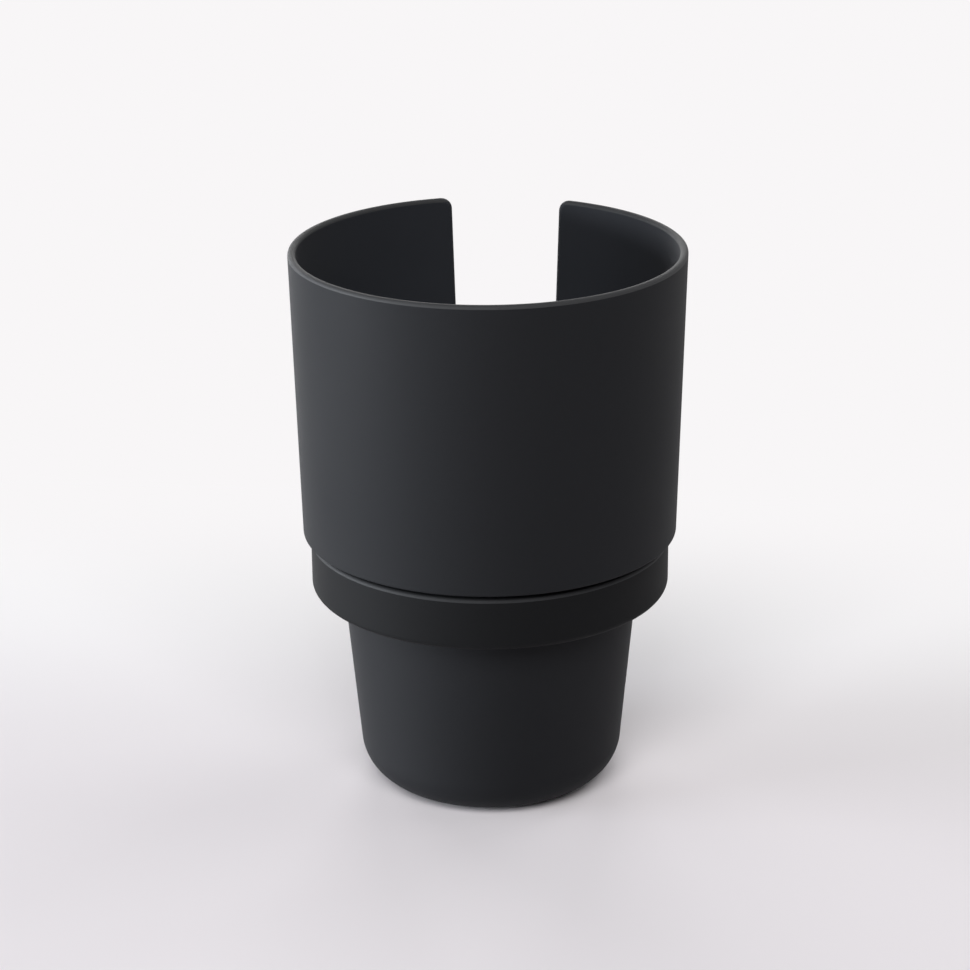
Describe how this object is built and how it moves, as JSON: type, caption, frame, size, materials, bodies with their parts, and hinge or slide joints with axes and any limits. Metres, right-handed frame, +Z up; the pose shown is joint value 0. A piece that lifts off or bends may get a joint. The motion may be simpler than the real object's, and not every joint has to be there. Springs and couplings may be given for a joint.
{
  "type": "car cup holder adapter",
  "caption": "Wide open cup with a handle slot, which swivels on a stepped base that narrows to a tapered lower cup for a vehicle's own cup holder.",
  "frame": {"origin": "centre of the foot pad's underside, on the swivel axis", "axes": "+Z up along the swivel axis, +Y towards the handle slot at rest"},
  "size_m": [0.1, 0.0986, 0.1433],
  "materials": {
    "black_plastic": "fine matte moulded texture",
    "natural_plastic": "smooth, low friction",
    "steel": "zinc plated",
    "silicone": "soft matte"
  },
  "bodies": {
    "base": {"base_cup": "black_plastic", "bearing_plate": "natural_plastic", "glide_ring": "natural_plastic", "plate_screw_1": "steel", "plate_screw_2": "steel", "plate_screw_3": "steel", "foot_pad": "silicone"},
    "cup": {"upper_cup": "black_plastic", "floor_pad": "silicone", "pivot_screw": "steel", "pivot_washer": "steel"}
  },
  "joints": [
    {"name": "cup_swivel", "type": "hinge", "parent": "base", "child": "cup", "pos_m": [0, 0, 0.0689], "axis": [0, 0, 1], "continuous": true}
  ]
}
